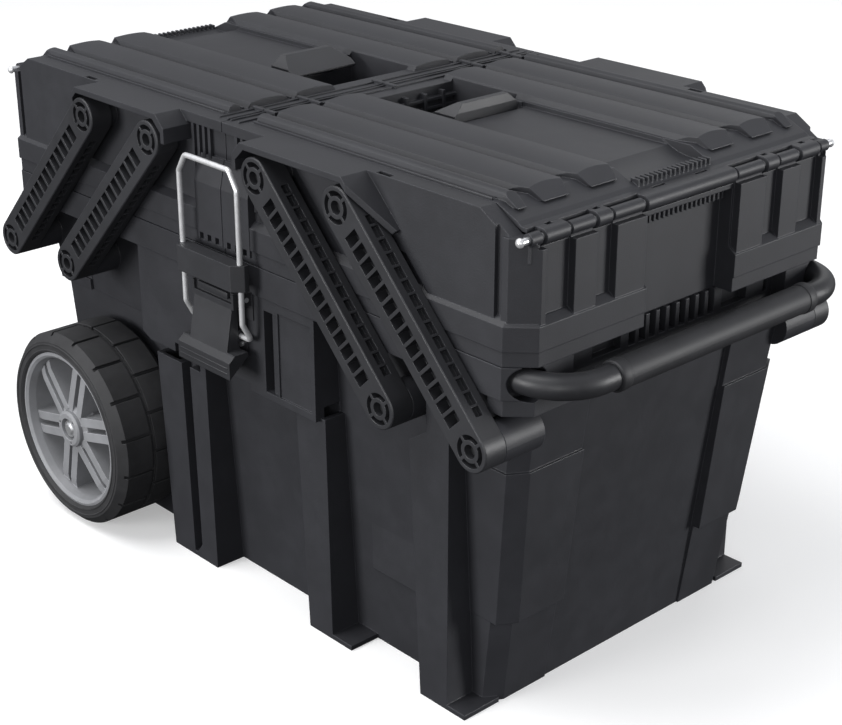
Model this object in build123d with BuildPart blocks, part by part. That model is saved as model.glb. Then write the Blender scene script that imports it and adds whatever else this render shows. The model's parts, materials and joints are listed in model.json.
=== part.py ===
from build123d import *

import os
from math import cos, radians, sin

os.makedirs("parts", exist_ok=True)

# Rolling cantilever toolbox, millimetres.
# X = 0 is the seam between the two trays, +X points to the pull handle, -X to the wheels.
# Y = 0 is the middle plane, -Y is the front with the draw latch. Z = 0 is the ground.

# ---- heights
RIM_BOTTOM = 274.0
RIM_TOP = 297.8
TRAY_BOTTOM = 298.2
TRAY_TOP = 402.0
HINGE_SIDE_TOP = 387.0

# ---- base bin
BIN_END_LOW, BIN_END_TOP = 262.5, 297.0
PILLAR_END_LOW, PILLAR_END_TOP = 264.0, 302.0
BIN_SIDE_LOW, BIN_SIDE_TOP = 138.0, 150.0
WALL = 3.6
FLOOR = 5.0
COLUMN_FACE = 166.0
RECESS_FACE = 130.0
RIM_HALF_X, RIM_HALF_Y = 315.0, 172.0
RIM_OPEN_X, RIM_OPEN_Y = 284.0, 140.0
CORNER_CUT = 15.0

# ---- wheels
WHEEL_X, WHEEL_Z = -199.0, 89.0
TYRE_RADIUS, TYRE_INNER_RADIUS = 88.5, 71.0
WHEEL_IN, WHEEL_OUT = 142.0, 210.0
AXLE_RADIUS, AXLE_HALF = 6.0, 207.0
WELL_Y, WELL_X, WELL_TOP = 137.5, -104.0, 196.0

# ---- pull handle
TUBE_RADIUS = 9.3
GRIP_RADIUS = 11.0
TUBE_Y, TUBE_Z = 156.0, 286.0
HANDLE_REACH = 341.0
HANDLE_BEND = 38.0
TUBE_END = -20.0
GRIP_HALF = 108.0

# ---- cantilever arms
OUTER_PIVOT_X, INNER_PIVOT_X, LOWER_PIVOT_Z = 292.7, 201.2, 241.0
ARM_DX, ARM_DZ = -133.5, 137.4
ARM_LENGTH = (ARM_DX**2 + ARM_DZ**2) ** 0.5
ARM_BACK, ARM_FACE = 173.6, 192.6
ARM_RADIUS = 15.5
PIN_RADIUS = 5.0
PIN_FIT = 0.06
BOSS_FACE = 173.2

# ---- trays
TRAY_START, TRAY_END = 0.5, 317.0
TRAY_WALL_Y = 166.0
BAND_FACE = 172.4
SKIN_FACE = 169.5
CHAMFER_X0 = 276.0
HOOD_FACE = 193.1
HINGE_X, HINGE_Z = 310.0, 385.8
HINGE_PIN_RADIUS = 2.5
KNUCKLES = [(84.0, 98.0), (125.0, 148.0)]
LUGS = [(51.0, 81.0), (100.5, 122.0), (150.5, 160.0)]
HOLD_HALF, HOLD_LOW, HOLD_HIGH, HOLD_X = 49.0, 290.0, 376.0, 297.0

# ---- lids
LID_START, LID_HALF_Y = 14.6, 155.0
RIM_GAP = 0.4
LID_LEDGE = 395.6
LID_DECK = 402.0
RIDGE_TOP = 407.5
WELL_START, WELL_END, WELL_HALF, WELL_FLOOR = 27.0, 100.0, 45.0, 378.0
PANEL_START, PANEL_END, PANEL_HALF, PANEL_FLOOR = 112.0, 262.0, 45.0, 398.4

# ---- draw latch
LEVER_Y, LEVER_Z = 177.0, 270.0
CRANK = 32.0
BAIL_Y = 185.0
BAIL_HALF = 36.5
BAIL_TOP = 374.0
WIRE_RADIUS = 2.2


def save(part, name):
    """Label one finished piece and write its STEP file."""
    part.label = name
    export_step(part, f"parts/{name}.step")


def mirrored(part, plane):
    """A mirrored copy of a finished piece."""
    with BuildPart() as copy:
        mirror(part, about=plane)
    return copy.part


def block(x0, x1, y0, y1, z0, z1, mode=Mode.ADD):
    """A box given by its limits, inside the current part."""
    with Locations(((x0 + x1) / 2, (y0 + y1) / 2, (z0 + z1) / 2)):
        Box(abs(x1 - x0), abs(y1 - y0), abs(z1 - z0), mode=mode)


def rod(x, z, radius, y0, y1, mode=Mode.ADD):
    """A round bar or hole along Y."""
    with Locations((x, (y0 + y1) / 2, z)):
        Cylinder(radius, abs(y1 - y0), rotation=(90, 0, 0), mode=mode)


def octagon(half_x, half_y, cut_x, cut_y):
    """A rectangle with its four corners cut, drawn in the current sketch."""
    points = [
        (half_x - cut_x, half_y), (half_x, half_y - cut_y),
        (half_x, cut_y - half_y), (half_x - cut_x, -half_y),
        (cut_x - half_x, -half_y), (-half_x, cut_y - half_y),
        (-half_x, half_y - cut_y), (cut_x - half_x, half_y),
    ]
    Polygon(*points, align=None)


def profile_xz(points, y0, y1, mode=Mode.ADD):
    """A closed outline in the XZ plane, extruded from y0 to y1 (y1 below y0)."""
    with BuildSketch(Plane.XZ.offset(-y0)) as outline:
        Polygon(*points, align=None)
    extrude(outline.sketch, amount=y0 - y1, dir=(0, -1, 0), mode=mode)


def tapered(z0, z1, half_x0, half_x1, half_y0, half_y1, cut_x, cut_y):
    """A drafted block with cut corners, made as a part of its own."""
    with BuildPart() as taper:
        with BuildSketch(Plane.XY.offset(z0)):
            octagon(half_x0, half_y0, cut_x, cut_y)
        with BuildSketch(Plane.XY.offset(z1)):
            octagon(half_x1, half_y1, cut_x, cut_y)
        loft()
    return taper.part


def end_half(z):
    """Half length of the drafted bin wall at a height."""
    return BIN_END_LOW + (BIN_END_TOP - BIN_END_LOW) * z / RIM_BOTTOM


def pillar_half(z):
    """Half length over the drafted corner pillars at a height."""
    return PILLAR_END_LOW + (PILLAR_END_TOP - PILLAR_END_LOW) * z / RIM_BOTTOM


def side_half(z):
    """Half width of the drafted bin wall at a height."""
    return BIN_SIDE_LOW + (BIN_SIDE_TOP - BIN_SIDE_LOW) * z / RIM_BOTTOM


# =====================================================================
# Base bin: drafted tub with corner pillars, columns, wheel wells, bosses
# =====================================================================
tub = tapered(0, RIM_BOTTOM, BIN_END_LOW, BIN_END_TOP, BIN_SIDE_LOW, BIN_SIDE_TOP, 9, 14)
pillars = tapered(
    0, RIM_BOTTOM, PILLAR_END_LOW, PILLAR_END_TOP,
    BIN_SIDE_LOW + 1, BIN_SIDE_TOP + 1, 9, 14,
)
BLOCK_LOW, BLOCK_HIGH = 76.0, 206.0
corner_blocks = tapered(
    BLOCK_LOW, BLOCK_HIGH,
    pillar_half(BLOCK_LOW) + 6, pillar_half(BLOCK_HIGH) + 2,
    side_half(BLOCK_LOW) + 1.5, side_half(BLOCK_HIGH) + 3, 9, 15,
)
cavity_loft = tapered(
    FLOOR, RIM_TOP + 5,
    end_half(FLOOR) - WALL, end_half(RIM_TOP) - WALL,
    side_half(FLOOR) - WALL, side_half(RIM_TOP) - WALL, 10, 12,
)
with BuildPart() as cavity:
    add(cavity_loft)
    for side in (-1, 1):
        inner, outer = sorted((side * (WELL_Y - WALL - 1), side * 200))
        block(-400, WELL_X + WALL, inner, outer, 0, WELL_TOP + WALL, mode=Mode.SUBTRACT)

PILLAR_Y = 80.0
COLUMN_A = [(-112, 194), (-101, 0), (-40, 0), (-43, 194)]
COLUMN_B = [(75, 192), (85, 0), (113, 0), (110, 192)]
COLUMN_C = [(222, RIM_BOTTOM), (222, 222), (204, 210), (216, 0), (245, 0), (245, RIM_BOTTOM)]
GROOVE_A = [(-77, 200), (-72, -1), (-61, 14), (-65, 200)]
PANEL_BLOCK = [
    (-123, RIM_BOTTOM), (-123, 197), (-112, 192), (-45, 192), (-45, 196), (25, 196), (25, 190),
    (105, 190), (105, RIM_BOTTOM),
]
FEET = [(-46, -100), (136, 108), (264, 240)]
with BuildPart() as corners:
    add(pillars)
    add(corner_blocks)
    block(-400, 400, -PILLAR_Y, PILLAR_Y, -1, 300, mode=Mode.SUBTRACT)
    block(-236, 236, -200, 200, -1, 300, mode=Mode.SUBTRACT)

# columns, latch panel and framed block of the front; the rear wears the same
with BuildPart() as front_dress:
    for outline in (COLUMN_A, COLUMN_B, COLUMN_C):
        profile_xz(outline, -RECESS_FACE, -COLUMN_FACE)
    profile_xz(PANEL_BLOCK, -RECESS_FACE, -171.0)
    profile_xz(GROOVE_A, -156, -180, mode=Mode.SUBTRACT)
    # framed window of the block beside the latch
    block(45, 60, -180, -160, 196, 264, mode=Mode.SUBTRACT)
    block(52, 57, -168, -158, 196, 264)
    block(62, 101, -180, -169.4, 196, 266, mode=Mode.SUBTRACT)
    # low feet that spread each column on the ground
    for right, left in FEET:
        block(left, right, -COLUMN_FACE, -RECESS_FACE, 0, 4)

# hollows moulded up into the columns and the panel, open at the bottom
with BuildPart() as front_hollows:
    for outline in (
        [(-107, 188), (-97, -1), (-80, -1), (-84, 188)],
        [(-57, 188), (-57, -1), (-46, -1), (-48, 188)],
        [(80, 200), (90, -1), (108, -1), (105, 200)],
        [(221, 200), (221, -1), (241, -1), (241, 200)],
    ):
        profile_xz(outline, -147.5, -COLUMN_FACE + WALL)
    block(-119, -50, -167, -152, 180, 269)
    block(-30, 41, -167, -152, 180, 269)
    block(65, 101, -165, -152, 180, 269)

with BuildPart() as base_bin:
    add(tub)
    add(corners.part)
    # wheel wells at the left end
    for side in (-1, 1):
        near, far = sorted((side * WELL_Y, side * 220))
        block(-400, WELL_X, near, far, -1, WELL_TOP, mode=Mode.SUBTRACT)
    add(front_dress.part)
    mirror(front_dress.part, about=Plane.XZ)
    add(front_hollows.part, mode=Mode.SUBTRACT)
    mirror(front_hollows.part, about=Plane.XZ, mode=Mode.SUBTRACT)
    # step line across the recess between the columns
    for side in (-1, 1):
        inner, outer = sorted((side * 130, side * (side_half(70) + 1.6)))
        block(136, 216, inner, outer, 66, RIM_BOTTOM)
    # bosses that stand the arms off the wall
    for side in (-1, 1):
        for pivot_x in (-OUTER_PIVOT_X, -INNER_PIVOT_X, INNER_PIVOT_X, OUTER_PIVOT_X):
            rod(pivot_x, LOWER_PIVOT_Z, ARM_RADIUS, side * 136, side * BOSS_FACE)
    add(cavity.part, mode=Mode.SUBTRACT)
    # pin holes in the bosses
    for side in (-1, 1):
        for pivot_x in (-OUTER_PIVOT_X, -INNER_PIVOT_X, INNER_PIVOT_X, OUTER_PIVOT_X):
            rod(pivot_x, LOWER_PIVOT_Z, PIN_RADIUS, side * 150, side * 200, mode=Mode.SUBTRACT)
    # moulded axle tunnel
    rod(WHEEL_X, WHEEL_Z, 11, -WELL_Y, WELL_Y)
    rod(WHEEL_X, WHEEL_Z, AXLE_RADIUS + 0.05, -200, 200, mode=Mode.SUBTRACT)
    # a key inside the front column groove
    for side in (-1, 1):
        inner, outer = sorted((side * 150, side * 157.5))
        block(-73, -66, inner, outer, 30, 190)
save(base_bin.part, "base_bin")

# =====================================================================
# Base rim: the frame that the trays rest on, bored for the handle tubes
# =====================================================================
with BuildPart() as base_rim:
    with BuildSketch(Plane.XY.offset(RIM_BOTTOM)):
        octagon(RIM_HALF_X, RIM_HALF_Y, CORNER_CUT, CORNER_CUT)
    extrude(amount=RIM_TOP - RIM_BOTTOM)
    # corner blocks reach lower than the rim
    with BuildSketch(Plane.XY.offset(262)):
        octagon(RIM_HALF_X, RIM_HALF_Y - 2, CORNER_CUT, CORNER_CUT)
        Rectangle(2 * 286, 400, mode=Mode.SUBTRACT)
        Rectangle(800, 2 * 118, mode=Mode.SUBTRACT)
    extrude(amount=RIM_BOTTOM - 262)
    block(-RIM_OPEN_X, RIM_OPEN_X, -RIM_OPEN_Y, RIM_OPEN_Y, 250, 310, mode=Mode.SUBTRACT)
    add(cavity.part, mode=Mode.SUBTRACT)
    add(tapered(200, RIM_BOTTOM, pillar_half(200) + 0.1, PILLAR_END_TOP + 0.1,
                side_half(200) + 1.1, BIN_SIDE_TOP + 1.1, 9, 14), mode=Mode.SUBTRACT)
    for side in (-1, 1):
        # the ends between the corner blocks stand back
        near, far = sorted((side * 303.0, side * 320.0))
        block(near, far, -118, 118, 250, 310, mode=Mode.SUBTRACT)
    # comb of vertical slots under the hand hold of the trays
    for side in (-1, 1):
        near, far = sorted((side * 296.5, side * 304.0))
        for i in range(-4, 5):
            block(near, far, i * 11 - 3.6, i * 11 + 3.6, 279, 310, mode=Mode.SUBTRACT)
        # open windows and a narrow slot on both sides of the comb
        for y0, y1 in ((56, 86), (107, 112)):
            for end in (-1, 1):
                block(near, far, end * y0, end * y1, 280, 310, mode=Mode.SUBTRACT)
    # handle tube bores and their mouths
    for side in (-1, 1):
        with Locations(Location(((320 + TUBE_END - 4) / 2, side * TUBE_Y, TUBE_Z), (0, 90, 0))):
            Cylinder(TUBE_RADIUS + 0.08, 320 - TUBE_END + 4, mode=Mode.SUBTRACT)
        with Locations(Location((311.5, side * TUBE_Y, TUBE_Z), (0, 90, 0))):
            Cylinder(TUBE_RADIUS + 4, 22, mode=Mode.SUBTRACT)
save(base_rim.part, "base_rim")

# =====================================================================
# Pins, axle and small hardware that stay with the base
# =====================================================================
with BuildPart() as arm_pins:
    for side in (-1, 1):
        for pivot_x in (-OUTER_PIVOT_X, -INNER_PIVOT_X, INNER_PIVOT_X, OUTER_PIVOT_X):
            rod(pivot_x, LOWER_PIVOT_Z, PIN_RADIUS, side * 150, side * 187)
save(arm_pins.part, "base_arm_pins")

with BuildPart() as axle:
    rod(WHEEL_X, WHEEL_Z, AXLE_RADIUS, -AXLE_HALF, AXLE_HALF)
    chamfer(axle.edges().filter_by(GeomType.CIRCLE), 1.5)
save(axle.part, "axle")

with BuildPart() as push_nuts:
    for side in (-1, 1):
        rod(WHEEL_X, WHEEL_Z, 9.4, side * 199.6, side * 201.4)
        rod(WHEEL_X, WHEEL_Z, 7.6, side * 201.4, side * 205.4)
        rod(WHEEL_X, WHEEL_Z, AXLE_RADIUS, side * 199, side * 210, mode=Mode.SUBTRACT)
save(push_nuts.part, "axle_push_nuts")

# =====================================================================
# Wheels: tyre and twin-spoke hub
# =====================================================================
SPOKE_PAIRS = 6
SPOKE_WIDTH, SPOKE_OFFSET = 8.0, 6.6
WEB_LOW, WEB_HIGH = 160.0, 164.0
TREAD_BLOCKS = 16
with BuildPart() as tyre:
    with BuildSketch(Plane.XY):
        with BuildLine():
            shoulder = 7
            Polyline(
                (TYRE_INNER_RADIUS, WHEEL_IN), (TYRE_RADIUS - shoulder, WHEEL_IN),
                (TYRE_RADIUS, WHEEL_IN + shoulder), (TYRE_RADIUS, WHEEL_OUT - shoulder),
                (TYRE_RADIUS - shoulder, WHEEL_OUT), (TYRE_INNER_RADIUS + 1.5, WHEEL_OUT),
                (TYRE_INNER_RADIUS, WHEEL_OUT - 2), close=True,
            )
        make_face()
    revolve(axis=Axis.Y)
    # tread blocks: lateral grooves on both halves, half a pitch apart
    for i in range(TREAD_BLOCKS):
        for j, (y0, y1) in enumerate(((WHEEL_IN - 1, 178), (174, WHEEL_OUT + 1))):
            turn = 360 * (i + 0.5 * j) / TREAD_BLOCKS
            with Locations(Location(
                (TYRE_RADIUS * cos(radians(turn)), (y0 + y1) / 2, TYRE_RADIUS * sin(radians(turn))),
                (0, -turn, 0),
            )):
                Box(5.6, y1 - y0, 3.2, mode=Mode.SUBTRACT)
    # the groove that parts the two halves
    with BuildSketch(Plane.XY):
        with Locations((TYRE_RADIUS, 176)):
            Rectangle(5.0, 4.0)
    revolve(axis=Axis.Y, mode=Mode.SUBTRACT)

with BuildPart() as hub:
    # dished rim: flat lip outside, cone down to the web
    with BuildSketch(Plane.XY):
        with BuildLine():
            Polyline(
                (TYRE_INNER_RADIUS, 144), (TYRE_INNER_RADIUS, 207.8), (68.6, 208.6),
                (66.2, 206.5), (64.4, 200), (61, WEB_HIGH), (61, WEB_LOW), (66, WEB_LOW), (66, 144),
                close=True,
            )
        make_face()
    revolve(axis=Axis.Y)
    rod(0, 0, 62, WEB_LOW, WEB_HIGH)
    rod(0, 0, 21, 141.6, 198)
    # stepped centre boss
    with BuildSketch(Plane.XY):
        with BuildLine():
            Polyline(
                (0, 190), (23, 190), (21, 199.5), (16.5, 202), (16.5, 205.5), (14.5, 207.2),
                (0, 207.2), close=True,
            )
        make_face()
    revolve(axis=Axis.Y)
    rod(0, 0, 10.2, 198.6, 215, mode=Mode.SUBTRACT)
    # twin spokes, falling from the boss to the rim
    for i in range(SPOKE_PAIRS):
        turn = 360 * i / SPOKE_PAIRS + 14
        for offset in (-SPOKE_OFFSET, SPOKE_OFFSET):
            spoke_plane = Plane(origin=(0, 0, 0), z_dir=(
                -sin(radians(turn)), 0, cos(radians(turn))), x_dir=(
                cos(radians(turn)), 0, sin(radians(turn))))
            with BuildSketch(spoke_plane.offset(offset - SPOKE_WIDTH / 2)):
                with BuildLine():
                    Polyline((16, 162), (65.5, 162), (65.5, 198.5), (56, 201), (16, 202.5), close=True)
                make_face()
            extrude(amount=SPOKE_WIDTH, taper=3)
    for i in range(3):
        turn = radians(120 * i + 44)
        rod(12.8 * cos(turn), 12.8 * sin(turn), 1.2, 204.5, 210, mode=Mode.SUBTRACT)
    rod(0, 0, AXLE_RADIUS + PIN_FIT, 130, 220, mode=Mode.SUBTRACT)

for name, side in (("front", -1), ("rear", 1)):
    for kind, piece in (("tyre", tyre), ("hub", hub)):
        placed = Pos(WHEEL_X, 0, WHEEL_Z) * piece.part
        if side < 0:
            placed = mirrored(placed, Plane.XZ)
        save(placed, f"{name}_wheel_{kind}")

# =====================================================================
# Pull handle: bent steel tube, soft grip, end plugs
# =====================================================================
with BuildPart() as handle_tube:
    with BuildLine(Plane.XY.offset(TUBE_Z)):
        FilletPolyline(
            (TUBE_END, -TUBE_Y), (HANDLE_REACH, -TUBE_Y),
            (HANDLE_REACH, TUBE_Y), (TUBE_END, TUBE_Y), radius=HANDLE_BEND,
        )
    with BuildSketch(Plane(origin=(TUBE_END, -TUBE_Y, TUBE_Z), z_dir=(1, 0, 0))):
        Circle(TUBE_RADIUS)
        Circle(TUBE_RADIUS - 1.6, mode=Mode.SUBTRACT)
    sweep()
save(handle_tube.part, "handle_tube")

with BuildPart() as handle_grip:
    rod(HANDLE_REACH, TUBE_Z, GRIP_RADIUS, -GRIP_HALF, GRIP_HALF)
    chamfer(handle_grip.edges().filter_by(GeomType.CIRCLE), 1.6)
    rod(HANDLE_REACH, TUBE_Z, TUBE_RADIUS, -200, 200, mode=Mode.SUBTRACT)
save(handle_grip.part, "handle_grip")

with BuildPart() as handle_plugs:
    for side in (-1, 1):
        with Locations(Location((TUBE_END + 9.5, side * TUBE_Y, TUBE_Z), (0, 90, 0))):
            Cylinder(TUBE_RADIUS - 1.6, 21)
save(handle_plugs.part, "handle_end_plugs")

# =====================================================================
# Cantilever arm: twin-rail beam with a ladder of pockets and ring ends
# =====================================================================
LADDER_PITCH = 10.9
LADDER_COUNT = 14
LADDER_WIDTH = 14.0
ARM_DEPTH = ARM_FACE - ARM_BACK


def make_arm(pivot_x):
    """One front arm of the right-hand side, from its base pivot up to its tray pivot."""
    arm_plane = Plane(
        origin=(pivot_x, -ARM_BACK, LOWER_PIVOT_Z), z_dir=(0, -1, 0),
        x_dir=(ARM_DX / ARM_LENGTH, 0, ARM_DZ / ARM_LENGTH),
    )
    face_plane = arm_plane.offset(ARM_DEPTH)
    with BuildPart() as arm:
        with BuildSketch(arm_plane):
            with Locations((ARM_LENGTH / 2, 0)):
                SlotCenterToCenter(ARM_LENGTH, 2 * ARM_RADIUS)
        extrude(amount=ARM_DEPTH)
        # side channels leave a front and a rear rail, joined by thin rungs
        first = ARM_LENGTH / 2 - LADDER_PITCH * (LADDER_COUNT - 1) / 2
        with BuildSketch(arm_plane.offset(6)):
            for side in (-1, 1):
                with Locations((ARM_LENGTH / 2, side * (ARM_RADIUS - 1.4))):
                    Rectangle(ARM_LENGTH - 34, 5.2)
            with Locations(*[(first + i * LADDER_PITCH, 0) for i in range(LADDER_COUNT)]):
                Rectangle(1.8, 40, mode=Mode.SUBTRACT)
        extrude(amount=6.5, mode=Mode.SUBTRACT)
        # ladder pockets
        with BuildSketch(face_plane):
            with Locations(*[(first + i * LADDER_PITCH, 0) for i in range(LADDER_COUNT)]):
                Rectangle(LADDER_PITCH - 2.6, LADDER_WIDTH)
        extrude(amount=-10, mode=Mode.SUBTRACT)
        # ring grooves with four spokes at both ends
        with BuildSketch(face_plane):
            for end in (0, ARM_LENGTH):
                with Locations((end, 0)):
                    Circle(12.0)
                    Circle(8.2, mode=Mode.SUBTRACT)
                    with PolarLocations(10.2, 4, start_angle=0):
                        Rectangle(6, 2.4, mode=Mode.SUBTRACT)
        extrude(amount=-8, mode=Mode.SUBTRACT)
        with BuildSketch(arm_plane):
            with Locations((0, 0), (ARM_LENGTH, 0)):
                Circle(PIN_RADIUS + PIN_FIT)
        extrude(amount=ARM_DEPTH, mode=Mode.SUBTRACT)
        # a small chamfer around the outer face
        chamfer(
            arm.faces().sort_by(Axis.Y)[0].outer_wire().edges(), 0.8
        )
    return arm.part


for reach, pivot_x in (("outer", OUTER_PIVOT_X), ("inner", INNER_PIVOT_X)):
    right_front = make_arm(pivot_x)
    left_front = mirrored(right_front, Plane.YZ)
    save(right_front, f"right_front_{reach}_arm")
    save(left_front, f"left_front_{reach}_arm")
    save(mirrored(right_front, Plane.XZ), f"right_rear_{reach}_arm")
    save(mirrored(left_front, Plane.XZ), f"left_rear_{reach}_arm")

# =====================================================================
# Tray, drawn for the right-hand side
# =====================================================================
UPPER_X = [OUTER_PIVOT_X + ARM_DX, INNER_PIVOT_X + ARM_DX]
UPPER_Z = LOWER_PIVOT_Z + ARM_DZ
TOP_PROFILE = [
    (TRAY_START, TRAY_TOP), (CHAMFER_X0, TRAY_TOP), (301, HINGE_SIDE_TOP), (311, HINGE_SIDE_TOP),
    (318.5, 378.5), (320, 378.5), (320, 430), (TRAY_START, 430),
]


def tray_outline(half_y, end_x, cut):
    """Plan of one tray level: square at the seam, cut corners at the hinge end."""
    Polygon(
        (TRAY_START, -half_y), (end_x - cut, -half_y), (end_x, cut - half_y),
        (end_x, half_y - cut), (end_x - cut, half_y), (TRAY_START, half_y), align=None,
    )


HOOD = [
    (43, 380), (43, 392), (52.8, TRAY_TOP), (165.5, TRAY_TOP), (200, 367.5),
    (197.2, 364.7), (164.6, 397.3), (57, 397.3), (47, 388), (47, 380),
]
SKIN = [
    (155, 396), (155, 379), (172, 357), (205, 352), (245, 310), (290, 310), (290, 396),
]
# hood over the arm ends, bosses and stiffening ribs of one tray side
with BuildPart() as front_gear:
    profile_xz(HOOD, -TRAY_WALL_Y + 1, -HOOD_FACE)
    # the falling flange runs back to the wall
    with BuildSketch(Plane.XY.offset(340)):
        Polygon((165.7, -196), (216, -196), (216, -162.1), align=None)
    extrude(amount=80, mode=Mode.SUBTRACT)
    for pivot_x in UPPER_X:
        rod(pivot_x, UPPER_Z, 12, -TRAY_WALL_Y + 1, -BOSS_FACE)
    # stiffening ribs between the hood and the seam
    for i in range(4):
        block(36.5 - 7 * i, 39.5 - 7 * i, -TRAY_WALL_Y - 3.4, -TRAY_WALL_Y + 1, 340, 401)

with BuildPart() as tray:
    with BuildSketch(Plane.XY.offset(TRAY_BOTTOM)):
        tray_outline(TRAY_WALL_Y, 311, 12)
    extrude(amount=TRAY_TOP - TRAY_BOTTOM)
    # skirt bands around the bottom
    with BuildSketch(Plane.XY.offset(TRAY_BOTTOM)):
        tray_outline(BAND_FACE - 1.2, TRAY_END, 17)
    extrude(amount=11)
    with BuildSketch(Plane.XY.offset(309.2)):
        tray_outline(BAND_FACE, TRAY_END + 1, 17)
    with BuildSketch(Plane.XY.offset(327)):
        tray_outline(BAND_FACE, TRAY_END + 1, 17)
    loft()
    with BuildSketch(Plane.XY.offset(327)):
        tray_outline(BAND_FACE, TRAY_END + 1, 17)
    with BuildSketch(Plane.XY.offset(331.5)):
        tray_outline(TRAY_WALL_Y + 0.5, 312, 13)
    loft()
    # top rim flange
    with BuildSketch(Plane.XY.offset(394)):
        tray_outline(TRAY_WALL_Y + 3.5, 311, 14)
    extrude(amount=TRAY_TOP - 394)
    # raised skin outboard of the arms
    for y0, y1 in ((160, SKIN_FACE), (-160, -SKIN_FACE)):
        profile_xz(SKIN, max(y0, y1), min(y0, y1))
    # corner posts and end ribs
    with BuildSketch(Plane.XY.offset(TRAY_BOTTOM)):
        tray_outline(TRAY_WALL_Y + 3, TRAY_END, 15.5)
        Rectangle(2 * 296, 400, mode=Mode.SUBTRACT)
        Rectangle(800, 2 * 149, mode=Mode.SUBTRACT)
    extrude(amount=HINGE_SIDE_TOP - TRAY_BOTTOM)
    for side in (-1, 1):
        for y0, y1 in LUGS[:2]:
            block(303, TRAY_END, side * y0, side * y1, 327, HINGE_SIDE_TOP)
    # the top falls towards the hinge end
    profile_xz(TOP_PROFILE, 200, -200, mode=Mode.SUBTRACT)
    # inside: wide pocket, neck under the rim, lid seat
    block(4.5, 296.5, -TRAY_WALL_Y + 4, TRAY_WALL_Y - 4, TRAY_BOTTOM + 4, 386, mode=Mode.SUBTRACT)
    block(14, 296.5, -149, 149, TRAY_BOTTOM + 4, 410, mode=Mode.SUBTRACT)
    block(
        LID_START - RIM_GAP, 330, -LID_HALF_Y - RIM_GAP, LID_HALF_Y + RIM_GAP,
        LID_LEDGE, 430, mode=Mode.SUBTRACT,
    )
    profile_xz(
        [(281, LID_LEDGE + 1), (303, 379.7), (320, 379.7), (320, 420), (281, 420)],
        LID_HALF_Y + RIM_GAP, -LID_HALF_Y - RIM_GAP, mode=Mode.SUBTRACT,
    )
    # hand hold in the outer end
    block(HOLD_X + 3.5, 330, -HOLD_HALF, HOLD_HALF, HOLD_LOW, HOLD_HIGH, mode=Mode.SUBTRACT)
    # a row of short teeth under the lip
    for i in range(-9, 10):
        block(HOLD_X + 3, HOLD_X + 9, i * 5 - 1, i * 5 + 1, HOLD_HIGH - 8, HOLD_HIGH + 1)
    # hinge lugs
    for side in (-1, 1):
        for y0, y1 in LUGS:
            block(306.0, 312.0, side * y0, side * y1, 370, HINGE_Z)
            rod(HINGE_X, HINGE_Z, 4.6, side * y0, side * y1)
    rod(HINGE_X, HINGE_Z, HINGE_PIN_RADIUS, -200, 200, mode=Mode.SUBTRACT)
    # arm bosses, hoods and the pin holes
    add(front_gear.part)
    mirror(front_gear.part, about=Plane.XZ)
    for side in (-1, 1):
        for pivot_x in UPPER_X:
            rod(pivot_x, UPPER_Z, PIN_RADIUS, side * 163.5, side * 200, mode=Mode.SUBTRACT)
        block(174, 188, side * 163.5, side * 168.5, 399, 404, mode=Mode.SUBTRACT)
    # latch pad at the seam, front only
    with BuildSketch(Plane.YZ.offset(TRAY_START)):
        with BuildLine():
            Polyline(
                (-165, 303.4), (-BOSS_FACE, 303.4), (-BOSS_FACE, 350), (-168.4, 372), (-165, 372),
                close=True,
            )
        make_face()
    extrude(amount=33)
    # toothed foot of the pad
    for i in range(3):
        block(5 + 10 * i, 10 + 10 * i, -BOSS_FACE - 1, -169.5, 303, 309, mode=Mode.SUBTRACT)
    # low clips along the seam
    for clip_y in (-128, -84, -6, 93, 140):
        block(TRAY_START, 14, clip_y - 1.6, clip_y + 1.6, 400, 404.6)
    # divider slots inside
    for divider_x in (110.0, 205.0):
        for side in (-1, 1):
            y0, y1 = side * (TRAY_WALL_Y - 4), side * (TRAY_WALL_Y - 6.5)
            for dx in (-3.4, 1.4):
                block(divider_x + dx, divider_x + dx + 2, y0, y1, 303, 372)
right_tray = tray.part
save(right_tray, "right_tray")
save(mirrored(right_tray, Plane.YZ), "left_tray")

with BuildPart() as dividers:
    for divider_x in (110.0, 205.0):
        block(divider_x - 1.2, divider_x + 1.2, -161.6, 161.6, TRAY_BOTTOM + 4, 372)
        block(divider_x - 1.2, divider_x + 1.2, -30, 30, 350, 380, mode=Mode.SUBTRACT)
save(dividers.part, "right_tray_dividers")
save(mirrored(dividers.part, Plane.YZ), "left_tray_dividers")

with BuildPart() as tray_pins:
    for side in (-1, 1):
        for pivot_x in UPPER_X:
            rod(pivot_x, UPPER_Z, PIN_RADIUS, side * 163.5, side * 187)
save(tray_pins.part, "right_tray_arm_pins")
save(mirrored(tray_pins.part, Plane.YZ), "left_tray_arm_pins")

with BuildPart() as hinge_pin:
    rod(HINGE_X, HINGE_Z, HINGE_PIN_RADIUS, -167.7, 167.7)
    chamfer(hinge_pin.edges().filter_by(GeomType.CIRCLE), 0.6)
save(hinge_pin.part, "right_hinge_pin")
save(mirrored(hinge_pin.part, Plane.YZ), "left_hinge_pin")

# =====================================================================
# Lid, drawn for the right-hand side
# =====================================================================
TAB_PIVOT_X, TAB_PIVOT_Z, TAB_PIN_RADIUS = 108.0, 395.6, 1.5
RIDGES = [(42.0, 86.0), (90.0, 132.0), (136.5, 150.5)]
DECK_SIDE = [
    (LID_START, LID_LEDGE + 0.4), (LID_START, LID_DECK), (277, LID_DECK),
    (301, 391.4), (304.2, 391.4), (304.2, 388.2), (300, 388.2), (281, LID_LEDGE + 1.6),
    (275, LID_LEDGE + 0.4),
]
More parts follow.
